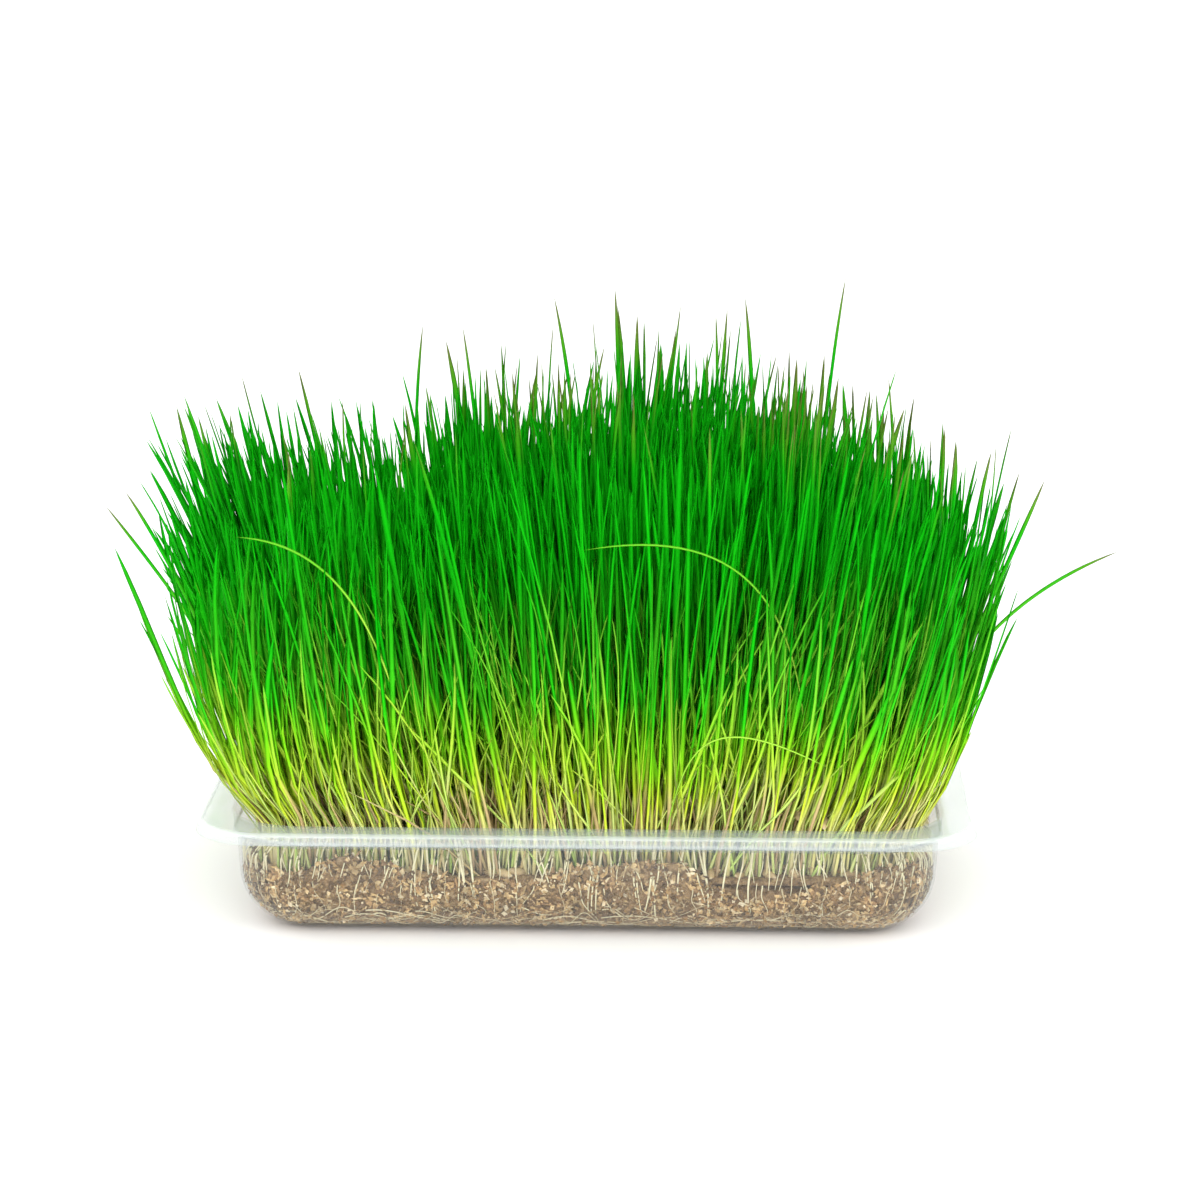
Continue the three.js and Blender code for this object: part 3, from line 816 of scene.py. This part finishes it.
def base_roots_piece(finish):
    """Threads that run along the foot of the wall, low on the round heel: level, plus one long flat
    wave."""
    lowest = 1.5
    index, drawn, t, turns = thread_draws(180, 24, BASE_ROOT_DRAWS, (3, 9))
    wave = between((1.0, 2.8), drawn.swing) * np.sin(turns)
    z = np.maximum(between((2.2, 9.2), drawn.height**1.4) + wave, lowest)
    share = (index * SCATTER[1]) % 1.0 + between((8, 34), drawn.length) * (t - 0.5) / RIM_WAY
    paths = on_rim(share, wall_inside(z) - between((0.3, 0.6), drawn.inset), z)
    threads(paths, between((0.12, 0.28), drawn.radius), drawn.tint, "base_roots", finish)


# The mat and its grains


def mat_top(points):
    """The mat's top: level, with low swells and small bumps."""
    return MAT_TOP - 1.0 + 0.7 * lumps(points, 16.0, "mat_top") + 0.5 * lumps(points, 2.6, "mat_top_fine")


def mat_piece(finish):
    """A closed low cake of matted roots and husks: an uneven edge, then rings that shrink to the middle."""
    around, top_rings = 320, 24
    share = np.linspace(0, 1, around, endpoint=False)[None]
    z = BED_TOP + np.array([1.2, 1.8, 2.4])[:, None]
    edge = on_rim(share, 0, z)
    rough = 0.8 * lumps(edge, 3.0, "mat_edge_fine") + 0.9 * lumps(edge, 12.0, "mat_edge")
    side = on_rim(share, -MAT_EDGE - 0.6 + rough, z)
    top = side[-1][None] * np.array([1, 1, 0]) * np.linspace(0.985, 0.05, top_rings)[:, None, None]
    top[..., 2] = mat_top(top)
    rings = np.concatenate([side, top])
    middles = [[0, 0, z[0, 0]], [0, 0, MAT_TOP - 1]]
    rows = ["grass_row_%d" % row for row in range(1, ROWS + 1)]
    closed_piece("root_mat", rings, middles, finish, stands_for=rows)


def scattered(count, inset, start=0):
    """Number and place of points scattered evenly over the tray, this far inside the body's top edge, less
    what falls in its round corners: multiples of two steps, of which the whole numbers are dropped."""
    index = np.arange(1, count + 1)
    half_x, half_y, corner = BODY_HALF_X - inset, BODY_HALF_Y - inset, BODY_CORNER - inset
    x = (((index + start) * SCATTER[0]) % 1 - 0.5) * 2 * half_x
    y = (((index + start) * SCATTER[1]) % 1 - 0.5) * 2 * half_y
    over_x = np.maximum(0, np.abs(x) - half_x + corner)
    over_y = np.maximum(0, np.abs(y) - half_y + corner)
    kept = np.hypot(over_x, over_y) <= corner
    return index[kept], x[kept], y[kept]


def grains_piece(finish):
    """Grains that lie on the mat: each an egg form, a circle's height along its length, pinched by a
    crease. A few near the front and the back are caught higher, between the stalks."""
    count, rings, around = 1100, 5, 6
    half_length, half_width, half_depth = 3.1, 1.55, 1.4
    crease_depth, crease_spread = 0.35, 0.5
    inset = MAT_EDGE + 2
    index, x, y = scattered(count, inset, 0.5)
    drawn = draw_all(index, GRAIN_DRAWS)
    centres = np.stack([x, y, 0 * x], axis=1)
    centres[:, 2] = mat_top(centres) + between((0.3, 1.2), drawn.lift)
    caught = (drawn.caught < CAUGHT_SHARE) & (np.abs(y) > BODY_HALF_Y - inset - CAUGHT_STRIP)
    centres[caught, 2] = between(CAUGHT_Z, drawn.caught_z[caught])
    heading = drawn.heading * 2 * math.pi
    pitch = between((-0.6, 0.6), drawn.pitch)
    long = np.cos(pitch)[:, None] * level(heading)
    long[:, 2] = np.sin(pitch)
    wide, deep = square_to(long, 0.9)
    t = np.linspace(-0.97, 0.97, rings)
    swell = np.sqrt(1 - t**2)
    angle = np.arange(around) * 2 * math.pi / around
    crease = 1 - crease_depth * np.exp(-(((angle - math.pi / 2) / crease_spread) ** 2))
    size = between((0.85, 1.15), drawn.size)
    body = long[:, None, None] * (t * half_length)[:, None, None]
    ring = wide[:, None, None] * (np.cos(angle) * crease)[:, None] * half_width
    ring = ring + deep[:, None, None] * (np.sin(angle) * crease)[:, None] * half_depth
    points = centres[:, None, None] + (body + ring * swell[:, None, None]) * size[:, None, None, None]
    each = rings * around
    ends = np.arange(around)[None]
    shapes = (grid_faces(rings, around), ends[:, ::-1], each - around + ends)
    faces = [repeated(shape, len(index), each) for shape in shapes]
    along = np.tile(np.repeat(np.abs(t), around), len(index))
    tint = np.repeat(np.where(caught, 1.0, drawn.tint), each)
    make_piece("sprouted_grains", points, faces, finish, {"tint": tint, "along": along})


# The blades


def fanned(distance, reach, edge_lean, rise):
    """How far from the middle a blade is at a height: its own distance, wider by a share everywhere and by
    more near the edge, both growing with the rise."""
    edge = edge_lean * (np.abs(distance) / reach) ** EDGE_POWER * np.sign(distance)
    return distance + (FAN * distance + edge) * rise


def usual_height(x):
    """The greatest height of a blade that is neither tall nor in a tall clump: less at the ends by a fourth
    power, more at the crest by a bell curve."""
    ends = END_DROP * (np.abs(x) / BODY_HALF_X) ** 4
    crest = CREST * np.exp(-(((x - CREST_X) / CREST_SPAN) ** 2))
    return BLADE_LEAST + BLADE_SPREAD - ends + crest


def blade_heights(index, x, y, wild):
    """A blade's height: the usual one less a drawn share of the spread. A few are taller, some shorter, and
    the wild ones a good deal shorter. Here and there a clump of the finer blades is taller, and they are
    lower between the clumps and towards the left."""
    drawn = draw_all(index, BLADE_DRAWS)
    height = usual_height(x) - BLADE_SPREAD * (1 - drawn.height)
    tall = drawn.kind < TALL_SHARE
    height = height + np.where(tall, TALL_EXTRA * drawn.extra, 0)
    height = height * np.where(drawn.kind > 1 - SHORT_SHARE, SHORT_SCALE, 1)
    at = np.stack([x, y * CLUMP_DEPTH, 0 * x], axis=-1)
    clump = eased(lumps(at, CLUMP_SIZE, "clumps"), 0.1, 0.6)
    change = CLUMP_EXTRA * clump * drawn.extra * ~tall - BETWEEN_CLUMPS * (1 - clump)
    change = change - sum(drop * eased(-x, start, end) for start, end, drop in LEFT_DROPS)
    height = height + change * (index > NODE_BLADES)
    return height * np.where(wild, between(WILD_HEIGHT, drawn.wild_height), 1)


def blade_centres(index, x, y, wild, t):
    """Points along each blade at the shares t: its root, plus a lean that neighbours partly have in common,
    plus a bend that grows with the cube of t, all spread by the fan with height. Below the rim a small
    share of the root's place is taken off, so that the blades lean outward before they reach the fan."""
    drawn = draw_all(index, BLADE_DRAWS)
    finer = index > NODE_BLADES
    inside = 1 - (np.abs(x) / BODY_HALF_X) ** 2
    inside_y = 1 - 0.8 * (np.abs(y) / BODY_HALF_Y) ** 2
    tuft_x = TUFT_SWAY[0] * np.sin(x / TUFT_SPAN + TUFT_TWIST[0] * np.sin(y / TUFT_SPAN))
    tuft_y = TUFT_SWAY[1] * np.cos(y / TUFT_SPAN - TUFT_TWIST[1] * np.sin(x / TUFT_SPAN))
    lean_x = tuft_x + (drawn.lean_x - 0.5) * 2 * SINGLE_SWAY[0]
    lean_y = tuft_y + (drawn.lean_y - 0.5) * 2 * SINGLE_SWAY[1]
    stray_x, stray_y = drawn.wild_x - 0.5, drawn.wild_y - 0.6
    lean_x = lean_x * np.where(wild, inside, 1)
    lean_x = lean_x + stray_x * 2 * inside * np.where(wild, WILD_LEAN, FREE_SWAY[0] * finer)
    lean_y = lean_y + stray_y * np.where(wild, WILD_LEAN * WILD_DEPTH, FREE_SWAY[1] * finer)
    lean_y = lean_y * np.where(finer, inside_y, 1)
    bend = (drawn.bend - 0.5) * 2 * BEND * np.where(wild, WILD_BEND * inside, 1)
    height = blade_heights(index, x, y, wild)
    edge_lean = np.where(x < 0, EDGE_LEAN_LEFT, EDGE_LEAN_RIGHT)
    x, y, lean_x, lean_y, bend, height, edge_lean = (
        a[:, None] for a in (x, y, lean_x, lean_y, bend, height, edge_lean)
    )
    z = ROOT_Z + height * t
    rise = (np.maximum(0, z - FAN_FROM) / FAN_HEIGHT) ** FAN_POWER
    gathered = ROOTS_GATHERED * np.clip((FAN_FROM - z) / (FAN_FROM - ROOT_Z), 0, 1)
    at_x = fanned(x + lean_x * t + bend * t**3, BODY_HALF_X, edge_lean, rise) - x * gathered
    at_y = fanned(y + lean_y * t, BODY_HALF_Y, EDGE_LEAN_DEPTH, rise) - y * gathered
    return np.stack([at_x, at_y, z + 0 * at_x], axis=-1)


def directions(centres, tips):
    """The direction of each blade at its rings: between the rings before and after."""
    whole = np.concatenate([centres, tips[:, None]], axis=1)
    return unit(np.gradient(whole, axis=1))[:, :-1]


def blade_points(centres, tips, t, widths, facing):
    """Rings of four points along each blade: two edges, a keel behind and a groove in front, so the section
    is a thin folded V. The sheath at the root is round and narrow, the blade is widest above its middle,
    and it narrows to a point. Edge to edge each ring lies along its facing, made square to the blade."""
    along = directions(centres, tips)
    side = unit(facing - along * np.sum(facing * along, axis=-1, keepdims=True))
    face = np.cross(along, side)
    leaf = eased(t, 0.08, 0.30)
    full = between((SHEATH_WIDTH, 1), eased(t, 0.12, 0.6))
    narrowing = np.clip(1 - ((t - TAPER_FROM) / (1 - TAPER_FROM)).clip(0) ** 2, 0.03, 1) ** 0.8
    half = (widths[:, None] / 2 * full * narrowing)[..., None]
    fold = half * LEAF_FOLD * leaf[:, None]
    thick = between((SHEATH_THICKNESS, LEAF_THICKNESS), leaf)[:, None] * np.ones_like(half)
    edge_a = centres + side * half + face * fold
    edge_b = centres - side * half + face * fold
    keel = centres - face * (thick + fold * 0.2)
    groove = centres + face * (thick * (1 - 2 * leaf[:, None]))
    return np.stack([edge_a, keel, edge_b, groove], axis=2)


def blades_mesh(groups):
    """Points, faces and attributes of blades whose rings are known. Each group has the same number of
    rings."""
    points, faces_four, faces_three, marks, offset = [], [], [], [], 0
    for rings, tips, t, *drawn_marks in groups:
        count, steps = rings.shape[:2]
        each = steps * 4 + 1
        body = np.concatenate([rings.reshape(count, steps * 4, 3), tips[:, None]], axis=1)
        points.append(body.reshape(-1, 3))
        cap = np.array([[0, 1, 2, 3]])
        four = np.concatenate([grid_faces(steps, 4)[:, ::-1], cap])
        last = (steps - 1) * 4
        three = np.array([[last + (n + 1) % 4, last + n, steps * 4] for n in range(4)])
        faces_four.append(repeated(four, count, each) + offset)
        faces_three.append(repeated(three, count, each) + offset)
        along = np.concatenate([np.repeat(t, 4), [1.0]])
        across = np.concatenate([np.tile([1.0, 0.0, 1.0, 0.0], steps), [0.0]])
        along_blade = [np.tile(mark, count) for mark in (along, across)]
        marks.append(np.stack(along_blade + [np.repeat(mark, each) for mark in drawn_marks]))
        offset += count * each
    marks = dict(zip(("along", "across", "tint", "light", "wither"), np.concatenate(marks, axis=1)))
    return np.concatenate(points), [np.concatenate(faces_four), np.concatenate(faces_three)], marks


def sward():
    """Every blade's rings, tip and marks, with the row that its root stands in, from the front. A blade's
    face turns from root to tip by its twist, and the tallest blades wither most."""
    index, x, y = scattered(BLADES, EDGE_MARGIN)
    row = np.clip(np.floor(y / ROW_DEPTH + ROWS / 2) + 1, 1, ROWS).astype(int)
    drawn = draw_all(index, BLADE_DRAWS)
    front = row <= FRONT_ROWS
    wild = (drawn.wild < np.where(front, WILD_SHARE_FRONT, WILD_SHARE)) & (index > NODE_BLADES)
    t = np.array(BLADE_RINGS)
    centres = blade_centres(index, x, y, wild, t)
    tips = blade_centres(index, x, y, wild, np.array([1.0]))[:, 0]
    widths = between(BLADE_WIDTH, drawn.width) * np.where(wild, WILD_WIDTH, 1)
    widths = widths * np.where(front, FRONT_WIDTH, 1)
    turns = math.pi * drawn.turn[:, None]
    twists = (drawn.twist[:, None] - 0.5) * 4
    rings = blade_points(centres, tips, t, widths, level(turns + twists * t))
    above = tips[:, 2] - ROOT_Z - usual_height(x)
    wither = 0.5 * drawn.wither + 0.6 * eased(above, *WITHERED_FROM)
    light = np.where(wild, between((0.4, 1), drawn.light), 0.2 * drawn.light * front)
    return rings, tips, t, drawn.tint, light, wither, row


def stray_group(row):
    """Rings of the long stray blades of a row, each on the cubic curve of its four points. Those of the
    front row are thin and light."""
    curves = np.array([points for at, points in STRAYS if at == row], float)
    if not len(curves):
        return None
    numbers = np.array([n for n, (at, _) in enumerate(STRAYS) if at == row]) + NODE_BLADES + 1
    drawn = draw_all(numbers, BLADE_DRAWS)
    front = row == 1
    t = np.append(np.linspace(0, 1, STRAY_RINGS, endpoint=False), 1.0)
    weights = np.stack([(1 - t) ** 3, 3 * t * (1 - t) ** 2, 3 * t**2 * (1 - t), t**3])
    lines = np.einsum("kt,nkc->ntc", weights, curves)
    widths = between(STRAY_WIDTH, drawn.width) - STRAY_THINNER * front
    centres, tips = lines[:, :-1], lines[:, -1]
    turns = between((1.3, 1.8), drawn.turn[:, None]) + 0 * t[:-1]
    facing = np.cross(level(turns), directions(centres, tips))
    rings = blade_points(centres, tips, t[:-1], widths, facing)
    light = np.full(len(curves), 1.8 if front else 0.3)
    wither = np.full(len(curves), 0.2 if front else 1.0)
    return rings, tips, t[:-1], between((0.5, 0.8), drawn.tint), light, wither


def grass_pieces(finish):
    """One piece for each row of the tray, which stands for that row's node."""
    rings, tips, t, tint, light, wither, rows = sward()
    for row in range(1, ROWS + 1):
        here = rows == row
        groups = [(rings[here], tips[here], t, tint[here], light[here], wither[here])]
        strays = stray_group(row)
        if strays:
            groups.append(strays)
        points, faces, marks = blades_mesh(groups)
        name = "grass_blades_row_%d" % row
        make_piece(name, points, faces, finish, marks, ["grass_row_%d" % row])


# Stage, light and camera


def make_stage(finish):
    """A floor that sweeps up behind the tray: flat, a quarter round, then upright."""
    front, flat, radius, high, half = -4.0, 1.2, 0.9, 3.0, 4.0
    turn = np.linspace(0, math.pi / 2, 25)
    y = np.concatenate([[front, flat], flat + radius * np.sin(turn[1:]), [flat + radius]])
    z = np.concatenate([[0, 0], radius * (1 - np.cos(turn[1:])), [high]])
    points = [(side, *at) for at in zip(y, z) for side in (-half, half)]
    mesh = bpy.data.meshes.new("studio_floor")
    mesh.from_pydata(points, [], grid_faces(len(y), 2, closed=False).tolist())
    mesh.polygons.foreach_set("use_smooth", [True] * len(mesh.polygons))
    floor = placed("studio_floor", mesh)
    mesh.materials.append(finish)


# Soft square lights, in metres and watts: where each is, what it points at, its side and its power
LIGHTS = {
    "key": ((-0.6, -1.6, 1.5), (0, 0, 0.08), 1.6, 11),
    "fill": ((1.4, -1.2, 1.0), (0, 0, 0.08), 1.6, 8),
    "low": ((0, -1.9, 0.35), (0, 0, 0.02), 1.4, 9),
}
SKY_STRENGTH = 1.36


def aimed(name, data, place, target):
    """A lamp or a camera at a place, turned so that it points at the target."""
    thing = placed(name, data)
    thing.location = place
    thing.rotation_euler = (Vector(target) - Vector(place)).to_track_quat("-Z", "Y").to_euler()
    return thing


def make_lights():
    """A white sky all round, and the square lights."""
    world = bpy.data.worlds.new("studio")
    world.use_nodes = True
    sky = world.node_tree.nodes["Background"].inputs
    sky["Color"].default_value = (1, 1, 1, 1)
    sky["Strength"].default_value = SKY_STRENGTH
    bpy.context.scene.world = world
    for name, (place, target, side, power) in LIGHTS.items():
        light = bpy.data.lights.new(name, "AREA")
        light.shape = "SQUARE"
        light.size = side
        light.energy = power
        aimed(name, light, place, target)


def make_camera():
    """The photograph's view: a long lens from the front, a little to the right and above."""
    azimuth, elevation, distance = math.radians(2), math.radians(13), 1.3
    focal_pixels, frame_pixels, sensor = 4058, 1200, 36
    middle = Vector((0, 0, 0.080))
    aim = Vector((0.0023, 0, 0.0917))
    level_away = math.cos(elevation)
    away = Vector((math.sin(azimuth) * level_away, -math.cos(azimuth) * level_away, math.sin(elevation)))
    data = bpy.data.cameras.new("camera")
    data.sensor_width = sensor
    data.lens = focal_pixels * sensor / frame_pixels
    bpy.context.scene.camera = aimed("camera", data, middle + away * distance, aim)


make_camera()
make_lights()
make_stage(studio_floor())
tray_piece(clear_plastic())
medium_piece(loose_medium())
flake_finish = flake()
for kind in CHIP_KINDS:
    chips_piece(flake_finish, *kind)
root_finish = root()
wall_roots_piece(root_finish)
wall_stems_piece(root_finish)
base_roots_piece(root_finish)
mat_piece(loose_medium())
grains_piece(grain())
grass_pieces(grass())

bpy.context.scene.view_settings.view_transform = "Standard"
